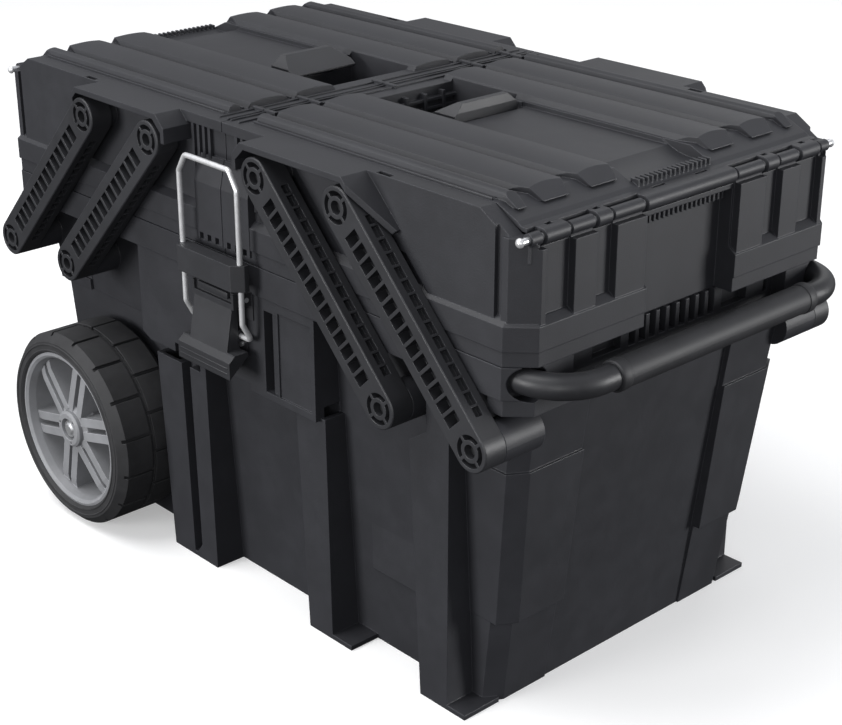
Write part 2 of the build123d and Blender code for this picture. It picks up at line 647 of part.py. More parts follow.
# long crowned ridges whose noses narrow in plan before the hinge flange
NOSE_START, NOSE_END, NOSE_TAPER = 258.0, 301.0, 0.3
with BuildPart() as ridges:
    for side in (-1, 1):
        for y0, y1 in RIDGES:
            shoulder = 4.0 if y1 < 140 else 2.5
            with BuildSketch(Plane.YZ.offset(LID_START + 3)):
                with BuildLine():
                    low_a, low_b = (side * y0, LID_LEDGE + 3), (side * y1, LID_LEDGE + 3)
                    top_a = (side * (y0 + shoulder), RIDGE_TOP - 1.6)
                    top_b = (side * (y1 - shoulder), RIDGE_TOP - 1.6)
                    ThreePointArc(top_a, (side * (y0 + y1) / 2, RIDGE_TOP), top_b)
                    Polyline(
                        top_b, (side * (y1 - 0.4), LID_DECK - 0.6), low_b, low_a,
                        (side * (y0 + 0.4), LID_DECK - 0.6), top_a,
                    )
                make_face()
            extrude(amount=301 - LID_START)
            for flank, inward in ((y0, 1), (y1, -1)):
                cut = NOSE_TAPER * (y1 - y0) * inward
                with BuildSketch(Plane.XY.offset(LID_LEDGE)):
                    Polygon(
                        (NOSE_START, side * (flank - inward)), (NOSE_END, side * (flank - inward)),
                        (NOSE_END, side * (flank + cut)), (NOSE_START, side * flank), align=None,
                    )
                extrude(amount=20, mode=Mode.SUBTRACT)

with BuildPart() as lid:
    profile_xz(DECK_SIDE, LID_HALF_Y, -LID_HALF_Y)
    add(ridges.part)
    profile_xz(
        [(276, 412), (276, RIDGE_TOP), (299, 391.4), (320, 391.4), (320, 412)],
        LID_HALF_Y + 1, -LID_HALF_Y - 1, mode=Mode.SUBTRACT,
    )
    profile_xz(
        [(281, LID_LEDGE + 1.6), (300, 388.2), (305, 388.2), (305, 380), (281, 380)],
        LID_HALF_Y + 1, -LID_HALF_Y - 1, mode=Mode.SUBTRACT,
    )
    # knuckles on the hinge pin, and the rolled lip over the hand hold
    for side in (-1, 1):
        for y0, y1 in KNUCKLES:
            block(299, HINGE_X, side * (y0 + 0.5), side * (y1 - 0.5), 386.6, 391.3)
            rod(HINGE_X, HINGE_Z, 5.5, side * (y0 + 0.5), side * (y1 - 0.5))
            middle = side * (y0 + y1) / 2
            block(303.4, 307.4, middle - 3.2, middle + 3.2, 389, 395, mode=Mode.SUBTRACT)
    block(299, HINGE_X, -48, 48, 386.6, 391.3)
    rod(HINGE_X, HINGE_Z, 5.5, -48, 48)
    rod(HINGE_X, HINGE_Z, HINGE_PIN_RADIUS + PIN_FIT, -200, 200, mode=Mode.SUBTRACT)
    # recessed middle panel
    block(PANEL_START, PANEL_END, -PANEL_HALF + 5, PANEL_HALF - 5, PANEL_FLOOR, 412,
          mode=Mode.SUBTRACT)
    # thickened floor under the scoop, then the scoop as a dish with a comb at its far wall
    profile_xz(
        [(236, 390), (294, 390), (294, 393.5), (285, 397.4), (236, 397.4)],
        PANEL_HALF + 1, -PANEL_HALF - 1,
    )
    with BuildSketch(Plane.XZ.offset(-PANEL_HALF + 4)):
        with BuildLine():
            ThreePointArc((248, 404), (268, 394.5), (291, 394.0))
            Polyline((291, 394.0), (296, 399), (296, 412), (248, 412), (248, 404))
        make_face()
    extrude(amount=2 * PANEL_HALF - 8, mode=Mode.SUBTRACT)
    for i in range(-8, 9):
        block(290.5, 297.5, i * 4.8 - 0.9, i * 4.8 + 0.9, 392, 397.6)
    # finger well near the seam: a deep box with rails and posts on its seam-side wall
    block(WELL_START - 3, PANEL_START + 7, -WELL_HALF - 3, WELL_HALF + 3, WELL_FLOOR - 2.6,
          LID_LEDGE + 2)
    block(WELL_START, WELL_END, -WELL_HALF, WELL_HALF, WELL_FLOOR, 412, mode=Mode.SUBTRACT)
    block(WELL_END - 1, PANEL_START + 3, -37.4, 37.4, 391, 412, mode=Mode.SUBTRACT)
    for rail_z in (384.0, 391.0):
        block(WELL_START - 1, WELL_START + 4, -WELL_HALF, WELL_HALF, rail_z, rail_z + 2.4)
    for post_y in (-30, -10, 10, 30):
        block(WELL_START - 1, WELL_START + 5.5, post_y - 1.4, post_y + 1.4, WELL_FLOOR - 1, 398)
    rod(TAB_PIVOT_X, TAB_PIVOT_Z, TAB_PIN_RADIUS, -43, 43, mode=Mode.SUBTRACT)
    # locating flange that drops inside the tray
    block(18, 22, -146, 146, 389, LID_LEDGE + 2)
    for side in (-1, 1):
        block(18, 268, side * 143, side * 146, 389, LID_LEDGE + 2)
    # two short slots in the hinge flange
    for side in (-1, 1):
        block(300.6, 303.4, side * 16, side * 30, 389.4, 392, mode=Mode.SUBTRACT)
right_lid = lid.part
save(right_lid, "right_lid")
save(mirrored(right_lid, Plane.YZ), "left_lid")

# Lid latch: a tilting finger tab on a cross pin at the well's edge
with BuildPart() as tab:
    with BuildSketch(Plane.XZ.offset(-34)):
        with BuildLine():
            Polyline(
                (103.6, 393.6), (103.6, 399.5), (84, 396.4), (82, 397.6), (82, 399), (104.2, 411.5),
                (109.4, 411.5), (111.6, 405), (111.6, 393.6), close=True,
            )
        make_face()
    extrude(amount=68)
    # the flanks narrow towards the top edge
    for side in (-1, 1):
        with BuildSketch(Plane.YZ.offset(70)):
            with BuildLine():
                Polyline((side * 35, 402), (side * 35, 413), (side * 23, 413), close=True)
            make_face()
        extrude(amount=50, mode=Mode.SUBTRACT)
    rod(TAB_PIVOT_X, TAB_PIVOT_Z, TAB_PIN_RADIUS + PIN_FIT, -50, 50, mode=Mode.SUBTRACT)
save(tab.part, "right_lid_latch")
save(mirrored(tab.part, Plane.YZ), "left_lid_latch")

with BuildPart() as tab_pin:
    rod(TAB_PIVOT_X, TAB_PIVOT_Z, TAB_PIN_RADIUS, -43, 43)
save(tab_pin.part, "right_lid_latch_pin")
save(mirrored(tab_pin.part, Plane.YZ), "left_lid_latch_pin")

# =====================================================================
# Draw latch on the front: bracket, pin, lever, wire bail, crossbar
# =====================================================================
with BuildPart() as latch_bracket:
    block(-33, 33, -172.2, -171.0, 252, 273.8)
    block(-24, 24, -172.2, -171.0, 225.4, 252)
    for side in (-1, 1):
        block(side * 27, side * 32, -181.5, -172.2, 264.6, 275.4)
    with Locations(Location((0, -LEVER_Y, LEVER_Z), (0, 90, 0))):
        Cylinder(2.0, 100, mode=Mode.SUBTRACT)
save(latch_bracket.part, "latch_bracket")

with BuildPart() as latch_pin:
    with Locations(Location((0, -LEVER_Y, LEVER_Z), (0, 90, 0))):
        Cylinder(2.0, 65)
save(latch_pin.part, "latch_pin")

BAIL_PIVOT_Z = LEVER_Z - CRANK
with BuildPart() as latch_lever:
    # plate that kicks out to the finger lip
    with BuildSketch(Plane.YZ.offset(-33.4)):
        with BuildLine():
            Polyline(
                (-185.5, 274), (-185.5, 262), (-192, 227), (-197, 223), (-197, 209), (-178, 225),
                (-180, 232),
                (-180, 274), close=True,
            )
        make_face()
    extrude(amount=66.8)
    # cut-outs on both sides, wider at the pin
    for side in (-1, 1):
        block(side * 26.4, side * 40, -200, -170, 262, 280, mode=Mode.SUBTRACT)
        block(side * 24, side * 40, -200, -170, 228, 262, mode=Mode.SUBTRACT)
    # knuckle on the pin and eye for the bail
    with Locations(Location((0, -LEVER_Y, LEVER_Z), (0, 90, 0))):
        Cylinder(4.3, 52.8)
    block(-26.4, 26.4, -183, -LEVER_Y, 266, 274)
    block(-23, 23, -183, -172.8, BAIL_PIVOT_Z - 5, BAIL_PIVOT_Z + 5)
    # recess near the top of the face
    with BuildSketch(Plane.XZ.offset(186)):
        with Locations((0, 271)):
            Rectangle(48, 9)
    extrude(amount=-3.2, mode=Mode.SUBTRACT)
    with Locations(Location((0, -LEVER_Y, LEVER_Z), (0, 90, 0))):
        Cylinder(2.0 + PIN_FIT, 200, mode=Mode.SUBTRACT)
    with Locations(Location((0, -LEVER_Y, BAIL_PIVOT_Z), (0, 90, 0))):
        Cylinder(WIRE_RADIUS + PIN_FIT, 200, mode=Mode.SUBTRACT)
save(latch_lever.part, "latch_lever")

with BuildPart() as latch_bail:
    with BuildLine():
        FilletPolyline(
            (-12, -LEVER_Y, BAIL_PIVOT_Z), (-BAIL_HALF, -LEVER_Y, BAIL_PIVOT_Z),
            (-BAIL_HALF, -BAIL_Y, BAIL_PIVOT_Z + 15), (-BAIL_HALF, -BAIL_Y, BAIL_TOP - 14),
            (-BAIL_HALF + 9, -BAIL_Y, BAIL_TOP), (BAIL_HALF - 9, -BAIL_Y, BAIL_TOP),
            (BAIL_HALF, -BAIL_Y, BAIL_TOP - 14), (BAIL_HALF, -BAIL_Y, BAIL_PIVOT_Z + 15),
            (BAIL_HALF, -LEVER_Y, BAIL_PIVOT_Z), (12, -LEVER_Y, BAIL_PIVOT_Z), radius=4.5,
        )
    with BuildSketch(Plane(origin=(-12, -LEVER_Y, BAIL_PIVOT_Z), z_dir=(-1, 0, 0))):
        Circle(WIRE_RADIUS)
    sweep()
save(latch_bail.part, "latch_bail")

with BuildPart() as crossbar:
    with BuildSketch(Plane.XY.offset(281)):
        with BuildLine():
            Polyline(
                (-42, -180.5), (-42, -185), (-34, -193), (34, -193), (42, -185), (42, -180.5),
                close=True,
            )
        make_face()
    extrude(amount=21)
    fillet(crossbar.edges().filter_by(Axis.Z), 1.2)
    for side in (-1, 1):
        with Locations((side * BAIL_HALF, -BAIL_Y, 290)):
            Cylinder(WIRE_RADIUS, 60, mode=Mode.SUBTRACT)
save(crossbar.part, "bail_crossbar")

# =====================================================================
# Screws: two bracket screws beside the lever, heads on the bracket plate
# =====================================================================
with BuildPart() as bracket_screws:
    for side in (-1, 1):
        with Locations(Location((side * 18, -173.3, 229.2), (90, 0, 0))):
            Cylinder(2.6, 2.2)
save(bracket_screws.part, "bracket_screws")
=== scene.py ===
import json
from math import cos, radians, sin, tau

import bmesh
import bpy
from mathutils import Matrix, Vector


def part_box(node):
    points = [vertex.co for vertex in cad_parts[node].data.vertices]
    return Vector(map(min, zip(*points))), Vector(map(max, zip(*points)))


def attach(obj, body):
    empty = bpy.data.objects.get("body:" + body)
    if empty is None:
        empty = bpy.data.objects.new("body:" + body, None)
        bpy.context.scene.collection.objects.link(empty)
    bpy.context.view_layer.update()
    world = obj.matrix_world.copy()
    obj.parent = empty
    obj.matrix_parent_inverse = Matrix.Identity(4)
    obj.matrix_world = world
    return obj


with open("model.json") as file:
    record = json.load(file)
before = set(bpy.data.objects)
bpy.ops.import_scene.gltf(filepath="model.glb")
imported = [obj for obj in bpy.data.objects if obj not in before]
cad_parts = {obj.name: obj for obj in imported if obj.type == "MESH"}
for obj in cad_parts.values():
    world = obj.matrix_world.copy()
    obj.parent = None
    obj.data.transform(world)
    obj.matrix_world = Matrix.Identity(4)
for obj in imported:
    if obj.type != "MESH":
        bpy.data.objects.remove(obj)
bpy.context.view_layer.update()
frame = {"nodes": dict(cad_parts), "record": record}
MM = 0.001


# =====================================================================
# Materials: every one is a node tree built from the same small steps
# =====================================================================
class Nodes:
    """A short way to add and link shader nodes in one material."""

    def __init__(self, name):
        self.material = bpy.data.materials.new(name)
        self.material.use_nodes = True
        self.tree = self.material.node_tree
        self.tree.nodes.clear()
        self.output = self.add("ShaderNodeOutputMaterial")
        self.shader = self.add("ShaderNodeBsdfPrincipled")
        self.link(self.shader, "BSDF", self.output, "Surface")
        self.place = self.add("ShaderNodeTexCoord")

    def add(self, kind, **values):
        node = self.tree.nodes.new(kind)
        for key, value in values.items():
            if key in node.inputs:
                node.inputs[key].default_value = value
            else:
                setattr(node, key, value)
        return node

    def link(self, a, a_socket, b, b_socket):
        self.tree.links.new(a.outputs[a_socket], b.inputs[b_socket])

    def noise(self, scale, detail=4.0, roughness=0.55, distortion=0.0, stretch=None):
        node = self.add("ShaderNodeTexNoise")
        node.inputs["Scale"].default_value = scale
        node.inputs["Detail"].default_value = detail
        node.inputs["Roughness"].default_value = roughness
        node.inputs["Distortion"].default_value = distortion
        if stretch:
            mapping = self.add("ShaderNodeMapping")
            mapping.inputs["Scale"].default_value = stretch
            self.link(self.place, "Object", mapping, "Vector")
            self.link(mapping, "Vector", node, "Vector")
        else:
            self.link(self.place, "Object", node, "Vector")
        return node

    def ramp(self, source, socket, stops):
        node = self.add("ShaderNodeValToRGB")
        elements = node.color_ramp.elements
        while len(elements) < len(stops):
            elements.new(0.5)
        for element, (position, colour) in zip(elements, stops):
            element.position = position
            element.color = colour if len(colour) == 4 else (*colour, 1.0)
        self.link(source, socket, node, "Fac")
        return node

    def spread(self, source, socket, low, high):
        """A value spread from low to high by a 0..1 source."""
        node = self.add("ShaderNodeMapRange")
        node.inputs["To Min"].default_value = low
        node.inputs["To Max"].default_value = high
        self.link(source, socket, node, "Value")
        return node

    def mix(self, factor, factor_socket, a, a_socket, b, b_socket, blend="MIX"):
        node = self.add("ShaderNodeMix", data_type="RGBA", blend_type=blend)
        if factor is None:
            node.inputs[0].default_value = factor_socket
        else:
            self.tree.links.new(factor.outputs[factor_socket], node.inputs[0])
        for source, socket, slot in ((a, a_socket, 6), (b, b_socket, 7)):
            if isinstance(source, tuple):
                node.inputs[slot].default_value = source
            else:
                self.tree.links.new(source.outputs[socket], node.inputs[slot])
        return node

    def bump(self, height, socket, strength, distance, below=None):
        node = self.add("ShaderNodeBump")
        node.inputs["Strength"].default_value = strength
        node.inputs["Distance"].default_value = distance
        self.link(height, socket, node, "Height")
        if below is not None:
            self.link(below, "Normal", node, "Normal")
        return node


# the cosine between the rounded and the true normal: flat above the first, a full edge below the second
EDGE_STARTS, EDGE_FULL = 0.995, 0.80


def edge_mask(nodes, radius):
    """White along the edges, from the difference of a rounded and a true normal."""
    soft = nodes.add("ShaderNodeBevel", samples=6)
    soft.inputs["Radius"].default_value = radius
    true = nodes.add("ShaderNodeNewGeometry")
    dot = nodes.add("ShaderNodeVectorMath", operation="DOT_PRODUCT")
    nodes.link(soft, "Normal", dot, 0)
    nodes.tree.links.new(true.outputs["Normal"], dot.inputs[1])
    mask = nodes.add("ShaderNodeMapRange")
    mask.inputs["From Min"].default_value = EDGE_STARTS
    mask.inputs["From Max"].default_value = EDGE_FULL
    nodes.tree.links.new(dot.outputs["Value"], mask.inputs["Value"])
    return mask, soft


def moulded_plastic(name, dark, light, rough, grain=1.0, edge=0.0009, cell=900.0):
    """Grained, slightly satin moulding: etched cells, flow mottling, polished edges with a painted
    highlight that makes them paler.
    """
    n = Nodes(name)
    mask, soft = edge_mask(n, edge)
    cells = n.add("ShaderNodeTexVoronoi", feature="F1")
    cells.inputs["Scale"].default_value = cell
    n.link(n.place, "Object", cells, "Vector")
    fine = n.noise(cell * 1.9, 3.0, 0.6)
    flow = n.noise(6.0, 5.0, 0.6, 0.4)
    dust = n.noise(38.0, 6.0, 0.68)
    tone = n.ramp(flow, "Fac", [(0.30, dark), (0.72, light)])
    speck = n.ramp(dust, "Fac", [(0.42, (0.94, 0.94, 0.94)), (0.74, (1.12, 1.12, 1.13))])
    body = n.mix(None, 1.0, tone, "Color", speck, "Color", "MULTIPLY")
    # painted highlight: the edges are coloured paler to stand in for the thin light lines they catch
    painted_edge_highlight = (light[0] * 1.7, light[1] * 1.7, light[2] * 1.72, 1)
    with_painted_edge_highlight = n.mix(mask, "Result", body, 2, painted_edge_highlight, 0)
    n.link(with_painted_edge_highlight, 2, n.shader, "Base Color")
    rough_base = n.spread(dust, "Fac", rough - 0.06, rough + 0.08)
    polish = n.add("ShaderNodeMath", operation="MULTIPLY_ADD")
    n.tree.links.new(mask.outputs["Result"], polish.inputs[0])
    polish.inputs[1].default_value = -0.10
    n.tree.links.new(rough_base.outputs["Result"], polish.inputs[2])
    n.tree.links.new(polish.outputs["Value"], n.shader.inputs["Roughness"])
    n.shader.inputs["Specular IOR Level"].default_value = 0.46
    ripple = n.bump(n.noise(22.0, 2.0, 0.4), "Fac", 0.10 * grain, 0.0008, soft)
    leather = n.bump(cells, "Distance", 0.26 * grain, 0.00018, ripple)
    skin = n.bump(fine, "Fac", 0.22 * grain, 0.00010, leather)
    n.link(skin, "Normal", n.shader, "Normal")
    return n.material


def brushed_metal(name, colour, rough, along, metallic):
    """Steel with fine drawing lines, stretched by the three scales in along."""
    n = Nodes(name)
    lines = n.noise(700.0, 3.0, 0.6, stretch=along)
    cloud = n.noise(60.0, 4.0, 0.6)
    tone = n.ramp(lines, "Fac", [(0.3, tuple(c * 0.86 for c in colour)), (0.7, colour)])
    spots = n.ramp(cloud, "Fac", [(0.35, (0.9, 0.9, 0.9)), (0.7, (1.04, 1.04, 1.05))])
    body = n.mix(None, 1.0, tone, "Color", spots, "Color", "MULTIPLY")
    n.link(body, 2, n.shader, "Base Color")
    n.shader.inputs["Metallic"].default_value = metallic
    rough_map = n.spread(cloud, "Fac", rough - 0.05, rough + 0.09)
    n.link(rough_map, "Result", n.shader, "Roughness")
    _, soft = edge_mask(n, 0.0004)
    grain = n.bump(lines, "Fac", 0.12, 0.00005, soft)
    n.link(grain, "Normal", n.shader, "Normal")
    return n.material


def rubber(name, dark, light, rough, scale, edge=0.0007):
    """Dull rubber or powder coat: pebbled skin, dusty mottling, and a painted highlight that makes the
    edges paler.
    """
    n = Nodes(name)
    mask, soft = edge_mask(n, edge)
    dust = n.noise(45.0, 6.0, 0.7)
    pebble = n.add("ShaderNodeTexVoronoi", feature="SMOOTH_F1")
    pebble.inputs["Scale"].default_value = scale
    n.link(n.place, "Object", pebble, "Vector")
    tone = n.ramp(dust, "Fac", [(0.35, dark), (0.75, light)])
    # painted highlight: the edges are coloured paler to stand in for the light they catch
    painted_rubber_edge_highlight = (light[0] * 1.5, light[1] * 1.5, light[2] * 1.5, 1)
    with_painted_edge_highlight = n.mix(mask, "Result", tone, "Color", painted_rubber_edge_highlight, 0)
    n.link(with_painted_edge_highlight, 2, n.shader, "Base Color")
    rough_map = n.spread(dust, "Fac", rough - 0.06, rough + 0.07)
    n.link(rough_map, "Result", n.shader, "Roughness")
    n.shader.inputs["Specular IOR Level"].default_value = 0.38
    low = n.bump(n.noise(30.0, 3.0, 0.5), "Fac", 0.12, 0.0006, soft)
    skin = n.bump(pebble, "Distance", 0.3, 0.00016, low)
    n.link(skin, "Normal", n.shader, "Normal")
    return n.material


CHARCOAL = moulded_plastic(
    "charcoal_plastic", (0.0185, 0.019, 0.0225), (0.0245, 0.0252, 0.0295), 0.52)
BLACK = moulded_plastic(
    "black_plastic", (0.0185, 0.019, 0.0215), (0.026, 0.0266, 0.030), 0.47, 0.8, 0.0007, 1200.0)
GREY_HUB = moulded_plastic(
    "grey_hub_plastic", (0.20, 0.203, 0.212), (0.245, 0.249, 0.26), 0.47, 0.9, 0.0008)
TYRE = rubber("tyre_rubber", (0.020, 0.0201, 0.0215), (0.034, 0.0342, 0.0365), 0.68, 1100.0)
GRIP = rubber("grip_rubber", (0.019, 0.0194, 0.0215), (0.027, 0.0274, 0.0305), 0.56, 1500.0)
TUBE = rubber("painted_tube", (0.020, 0.0204, 0.0226), (0.028, 0.0285, 0.0315), 0.42, 2200.0)
STEEL = brushed_metal("zinc_steel", (0.86, 0.87, 0.885), 0.27, (1.0, 0.04, 1.0), 0.8)
WIRE = brushed_metal("bail_wire", (0.93, 0.935, 0.945), 0.30, (1.0, 1.0, 0.04), 0.6)
DARK_PIN = brushed_metal("dark_pin", (0.030, 0.031, 0.033), 0.42, (1.0, 1.0, 1.0), 0.3)
SLOT_LOOK = {
    "charcoal_plastic": CHARCOAL, "black_plastic": BLACK, "grey_hub_plastic": GREY_HUB,
    "tyre_rubber": TYRE, "grip_rubber": GRIP, "painted_tube": TUBE, "zinc_steel": STEEL,
}


def set_material(obj, material):
    obj.data.materials.clear()
    obj.data.materials.append(material)


for part in frame["record"]["subparts"]:
    set_material(frame["nodes"][part["node"]], SLOT_LOOK[part["material_slot"]])
set_material(frame["nodes"]["latch_bail"], WIRE)
# the photo shows dark ring centres, though the record lists these pins as zinc steel
for pins in ("base_arm_pins", "right_tray_arm_pins", "left_tray_arm_pins"):
    set_material(frame["nodes"][pins], DARK_PIN)


# =====================================================================
# Detail pieces: small mesh parts that ride on the CAD bodies
# =====================================================================
def finish_piece(name, mesh_data, material, body):
    """Turn a bmesh into a named piece that rides on a body."""
    bmesh.ops.recalc_face_normals(mesh_data, faces=mesh_data.faces)
    mesh = bpy.data.meshes.new(name)
    mesh_data.to_mesh(mesh)
    mesh_data.free()
    piece = bpy.data.objects.new(name, mesh)
    bpy.context.scene.collection.objects.link(piece)
    set_material(piece, material)
    mesh.shade_smooth()
    mesh.set_sharp_from_angle(angle=radians(35))
    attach(piece, body)
    return piece


def lathe(mesh_data, centre_x, centre_z, profile, steps=72):
    """Revolve a closed outline of (radius, y) points about an axis along Y."""
    rings = []
    for i in range(steps):
        turn = tau * i / steps
        rings.append([
            mesh_data.verts.new((centre_x + r * cos(turn), y, centre_z + r * sin(turn)))
            for r, y in profile])
    for i, ring in enumerate(rings):
        following = rings[(i + 1) % steps]
        for k in range(len(profile)):
            after = (k + 1) % len(profile)
            if profile[k][0] == 0 and profile[after][0] == 0:
                continue
            mesh_data.faces.new((ring[k], ring[after], following[after], following[k]))
    bmesh.ops.remove_doubles(mesh_data, verts=mesh_data.verts, dist=1e-7)


def soft_bar(mesh_data, low, high, edge):
    """A bar given by two corners, with its edges rounded."""
    size = [b - a for a, b in zip(low, high)]
    middle = Vector([(a + b) / 2 for a, b in zip(low, high)])
    made = bmesh.ops.create_cube(
        mesh_data, size=1.0, matrix=Matrix.Translation(middle) @ Matrix.Diagonal((*size, 1.0)))
    edges = list({e for v in made["verts"] for e in v.link_edges})
    bmesh.ops.bevel(mesh_data, geom=edges, offset=edge, segments=2, affect="EDGES", profile=0.6)


BEAD_INSETS = (9.6, 14.8)
BEAD_HALF_WIDTH, BEAD_SHOULDER = 1.0, 0.6
BEAD_DEPTH, BEAD_SHOULDER_RISE, BEAD_RISE = 0.4, 0.5, 0.7


def wheel_sidewalls():
    """Two raised beads on the outer wall of each tyre."""
    for name, side in (("front", -1), ("rear", 1)):
        low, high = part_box(f"{name}_wheel_tyre")
        centre_x, centre_z = (low[0] + high[0]) / 2, (low[2] + high[2]) / 2
        face = side * max(abs(low[1]), abs(high[1]))
        radius = (high[0] - low[0]) / 2
        root = face - side * BEAD_DEPTH * MM
        shoulder = face + side * BEAD_SHOULDER_RISE * MM
        beads = bmesh.new()
        for inset in BEAD_INSETS:
            r = radius - inset * MM
            lathe(beads, centre_x, centre_z, [
                (r + BEAD_HALF_WIDTH * MM, root), (r + BEAD_SHOULDER * MM, shoulder),
                (r, face + side * BEAD_RISE * MM), (r - BEAD_SHOULDER * MM, shoulder),
                (r - BEAD_HALF_WIDTH * MM, root)])
        finish_piece(f"{name}_tyre_beads", beads, TYRE, f"{name}_wheel")


PIN_HEAD_OUTLINE = (
    (0.0, -1.4), (2.9, -1.4), (3.4, -0.6), (3.2, 0.5), (2.4, 1.5), (1.2, 2.1), (0.0, 2.3))


def hinge_pin_domes():
    """Bright riveted heads on the ends of the two lid hinge pins."""
    for name in ("right", "left"):
        low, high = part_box(f"{name}_hinge_pin")
        centre_x, centre_z = (low[0] + high[0]) / 2, (low[2] + high[2]) / 2
        heads = bmesh.new()
        for side, end in ((-1, low[1]), (1, high[1])):
            outline = [(r * MM, end + side * rise * MM) for r, rise in PIN_HEAD_OUTLINE]
            lathe(heads, centre_x, centre_z, outline, 32)
        finish_piece(f"{name}_hinge_pin_heads", heads, WIRE, f"{name}_tray")


COLLAR_LENGTH, COLLAR_SINK, COLLAR_RISE = 9.0, 1.0, 0.7


def grip_collars():
    """Two stepped collars that close the soft grip on the handle tube."""
    low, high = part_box("handle_grip")
    centre_x, centre_z = (low[0] + high[0]) / 2, (low[2] + high[2]) / 2
    radius = (high[0] - low[0]) / 2
    collars = bmesh.new()
    for side, end in ((-1, low[1]), (1, high[1])):
        inner = end - side * COLLAR_LENGTH * MM
        foot, crown = radius - COLLAR_SINK * MM, radius + COLLAR_RISE * MM
        lathe(collars, centre_x, centre_z, [
            (foot, inner), (radius + 0.5 * MM, inner + side * 0.5 * MM),
            (crown, inner + side * 1.4 * MM), (crown, end - side * 1.6 * MM),
            (radius + 0.2 * MM, end - side * 0.5 * MM), (foot, end)], 64)
    finish_piece("grip_collars", collars, GRIP, "pull_handle")


SEAM_TOP, SEAM_HALF_LENGTH = 402.0, 162.0
SEAM_STRIPS = ((0.9, 1.6), (10.6, 1.3))
STRIP_SINK, STRIP_RISE, STRIP_EDGE = 0.3, 1.3, 0.4


def seam_strips():
    """Slim raised strips along the seam edge of each tray."""
    for name, side in (("right", 1), ("left", -1)):
        low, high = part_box(f"{name}_tray")
        seam = low[0] if side > 0 else high[0]
        bottom, top = (SEAM_TOP - STRIP_SINK) * MM, (SEAM_TOP + STRIP_RISE) * MM
        strips = bmesh.new()
        for start, width in SEAM_STRIPS:
            x0, x1 = sorted((seam + side * start * MM, seam + side * (start + width) * MM))
            soft_bar(
                strips, (x0, -SEAM_HALF_LENGTH * MM, bottom), (x1, SEAM_HALF_LENGTH * MM, top),
                STRIP_EDGE * MM)
        finish_piece(f"{name}_seam_strips", strips, CHARCOAL, f"{name}_tray")


LID_BEAD_START, LID_BEAD_END = 3.5, 256.0
LID_VALLEYS = (88.0, 134.3, 152.6)
LID_DECK_DROP = 5.5
LID_BEAD_HALF_WIDTH, LID_BEAD_SINK, LID_BEAD_RISE, LID_BEAD_EDGE = 0.6, 0.4, 1.5, 0.3


def lid_valley_beads():
    """Slim beads that run along the valleys between the lid's ridges."""
    for name, side in (("right", 1), ("left", -1)):
        low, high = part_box(f"{name}_lid")
        seam = low[0] if side > 0 else high[0]
        deck = high[2] - LID_DECK_DROP * MM
        beads = bmesh.new()
        x0, x1 = sorted((seam + side * LID_BEAD_START * MM, seam + side * LID_BEAD_END * MM))
        half = LID_BEAD_HALF_WIDTH * MM
        for valley in LID_VALLEYS:
            for y in (valley * MM, -valley * MM):
                soft_bar(
                    beads, (x0, y - half, deck - LID_BEAD_SINK * MM),
                    (x1, y + half, deck + LID_BEAD_RISE * MM), LID_BEAD_EDGE * MM)
        finish_piece(f"{name}_lid_beads", beads, CHARCOAL, f"{name}_lid")


TONGUE_HALF_WIDTH, TONGUE_INSET, TONGUE_THICKNESS, TONGUE_HEIGHT = 19.0, 11.5, 3.2, 5.2
GRIP_LINE_HEIGHTS = (4.0, 8.6)
GRIP_LINE_HALF_WIDTH, GRIP_LINE_RISE, GRIP_LINE_SINK, GRIP_LINE_WIDTH = 31.0, 0.5, 0.8, 1.2


def lever_details():
    """The tongue inside the lever's window and two grip lines on its lip."""
    low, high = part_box("latch_lever")
    face = low[1] + TONGUE_INSET * MM
    tongue = bmesh.new()
    soft_bar(
        tongue, (-TONGUE_HALF_WIDTH * MM, face, high[2] - TONGUE_HEIGHT * MM),
        (TONGUE_HALF_WIDTH * MM, face + TONGUE_THICKNESS * MM, high[2]), 0.5 * MM)
    finish_piece("lever_tongue", tongue, BLACK, "latch_lever")
    lines = bmesh.new()
    for height in GRIP_LINE_HEIGHTS:
        z = low[2] + height * MM
        soft_bar(
            lines, (-GRIP_LINE_HALF_WIDTH * MM, low[1] - GRIP_LINE_RISE * MM, z),
            (GRIP_LINE_HALF_WIDTH * MM, low[1] + GRIP_LINE_SINK * MM, z + GRIP_LINE_WIDTH * MM),
            0.3 * MM)
    finish_piece("lever_grip_lines", lines, BLACK, "latch_lever")


wheel_sidewalls()
hinge_pin_domes()
grip_collars()
seam_strips()
lid_valley_beads()
lever_details()


# =====================================================================
# Camera, lights and floor
# =====================================================================
AZIMUTH, ELEVATION, ROLL = radians(47.20), radians(23.41), radians(0.03)
CAMERA_PLACE = Vector((1.02029, -0.91023, 0.74792))
LENS, SENSOR = 73.44, 36.0
FLOOR_HALF, FLOOR_GLOW = 12.0, 0.32
# name, place, target, side of the square, power in watts
LIGHTS = (
    ("key", (-0.8, -1.2, 3.0), (0, 0, 0.2), 1.8, 66),
    ("front", (-0.6, -3.3, 0.8), (0, 0, 0.2), 1.3, 82),
    ("side", (2.7, 2.0, 0.7), (0, 0, 0.2), 1.1, 80),
    ("corner", (2.3, -2.6, 0.9), (0, 0, 0.2), 1.3, 26),
    ("back", (-1.2, 2.8, 2.0), (0, 0, 0.3), 1.6, 8),
)
# height on the sky, from 0 straight down through 0.5 at the horizon to 1 overhead, and its grey
SKY_STOPS = ((0.42, 0.03), (0.52, 0.42), (0.75, 0.46), (1.0, 0.55))
BACKDROP = (0.80, 0.80, 0.81, 1.0)


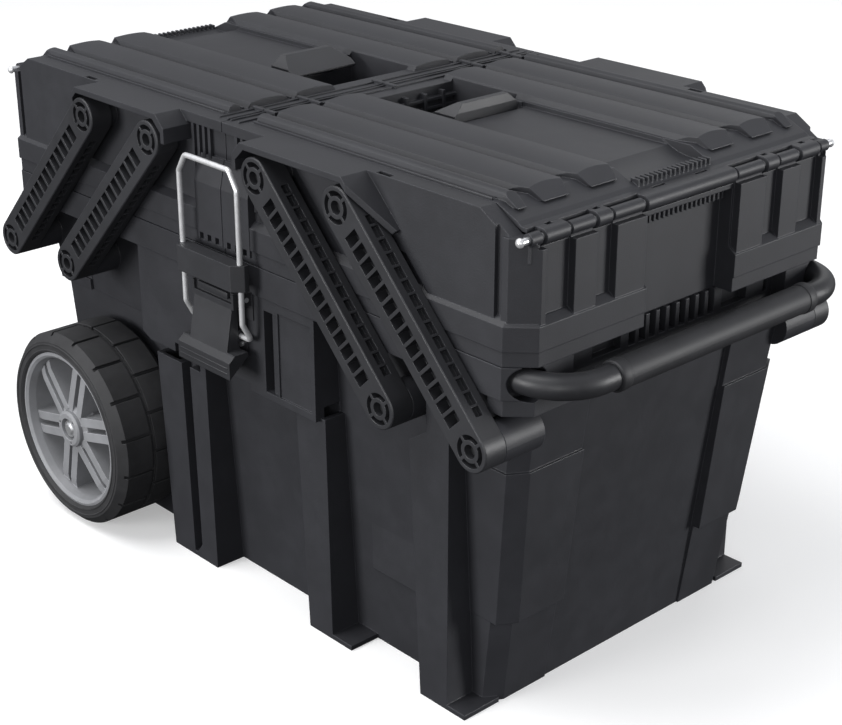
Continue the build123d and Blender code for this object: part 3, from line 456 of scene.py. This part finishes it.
def make_camera():
    data = bpy.data.cameras.new("camera")
    data.lens, data.sensor_width, data.sensor_fit = LENS, SENSOR, "HORIZONTAL"
    data.clip_start, data.clip_end = 0.05, 50.0
    camera = bpy.data.objects.new("camera", data)
    look = Vector((
        -sin(AZIMUTH) * cos(ELEVATION), cos(AZIMUTH) * cos(ELEVATION), -sin(ELEVATION)))
    camera.rotation_euler = (look.to_track_quat("-Z", "Y").to_matrix()
                             @ Matrix.Rotation(ROLL, 3, "Z")).to_euler()
    camera.location = CAMERA_PLACE
    bpy.context.scene.collection.objects.link(camera)
    bpy.context.scene.camera = camera


def area_light(name, place, target, size, power):
    data = bpy.data.lights.new(name, "AREA")
    data.shape, data.size, data.energy = "SQUARE", size, power
    light = bpy.data.objects.new(name, data)
    light.location = place
    light.rotation_euler = (Vector(target) - Vector(place)).to_track_quat("-Z", "Y").to_euler()
    bpy.context.scene.collection.objects.link(light)


def make_floor():
    mesh = bpy.data.meshes.new("floor")
    corners = [(x * FLOOR_HALF, y * FLOOR_HALF, 0) for x, y in ((-1, -1), (1, -1), (1, 1), (-1, 1))]
    mesh.from_pydata(corners, [], [(0, 1, 2, 3)])
    floor = bpy.data.objects.new("floor", mesh)
    n = Nodes("floor_paper")
    mottling = n.noise(3.0, 4.0, 0.5)
    paper = n.ramp(mottling, "Fac", [(0.3, (0.74, 0.74, 0.74)), (0.7, (0.76, 0.76, 0.76))])
    n.link(paper, "Color", n.shader, "Base Color")
    n.shader.inputs["Roughness"].default_value = 0.9
    n.shader.inputs["Emission Color"].default_value = (1.0, 1.0, 1.0, 1.0)
    n.shader.inputs["Emission Strength"].default_value = FLOOR_GLOW
    set_material(floor, n.material)
    # the paper catches the shadow, but lights nothing and shows in no reflection
    floor.visible_diffuse = False
    floor.visible_glossy = False
    bpy.context.scene.collection.objects.link(floor)


def make_world():
    """A soft studio, brightest overhead and nearly dark below; the camera sees a pale backdrop."""
    world = bpy.data.worlds.new("studio")
    world.use_nodes = True
    tree = world.node_tree
    tree.nodes.clear()
    place = tree.nodes.new("ShaderNodeTexCoord")
    split = tree.nodes.new("ShaderNodeSeparateXYZ")
    height = tree.nodes.new("ShaderNodeMapRange")
    height.inputs["From Min"].default_value = -1.0
    ramp = tree.nodes.new("ShaderNodeValToRGB")
    while len(ramp.color_ramp.elements) < len(SKY_STOPS):
        ramp.color_ramp.elements.new(0.5)
    for element, (position, grey) in zip(ramp.color_ramp.elements, SKY_STOPS):
        element.position = position
        element.color = (grey * 0.97, grey * 0.985, grey * 1.03, 1.0)
    light_path = tree.nodes.new("ShaderNodeLightPath")
    lit = tree.nodes.new("ShaderNodeBackground")
    seen = tree.nodes.new("ShaderNodeBackground")
    seen.inputs["Color"].default_value = BACKDROP
    choose = tree.nodes.new("ShaderNodeMixShader")
    output = tree.nodes.new("ShaderNodeOutputWorld")
    tree.links.new(place.outputs["Generated"], split.inputs["Vector"])
    tree.links.new(split.outputs["Z"], height.inputs["Value"])
    tree.links.new(height.outputs["Result"], ramp.inputs["Fac"])
    tree.links.new(ramp.outputs["Color"], lit.inputs["Color"])
    tree.links.new(light_path.outputs["Is Camera Ray"], choose.inputs["Fac"])
    tree.links.new(lit.outputs["Background"], choose.inputs[1])
    tree.links.new(seen.outputs["Background"], choose.inputs[2])
    tree.links.new(choose.outputs["Shader"], output.inputs["Surface"])
    bpy.context.scene.world = world
    bpy.context.scene.view_settings.view_transform = "Standard"


make_camera()
make_floor()
make_world()
for light in LIGHTS:
    area_light(*light)
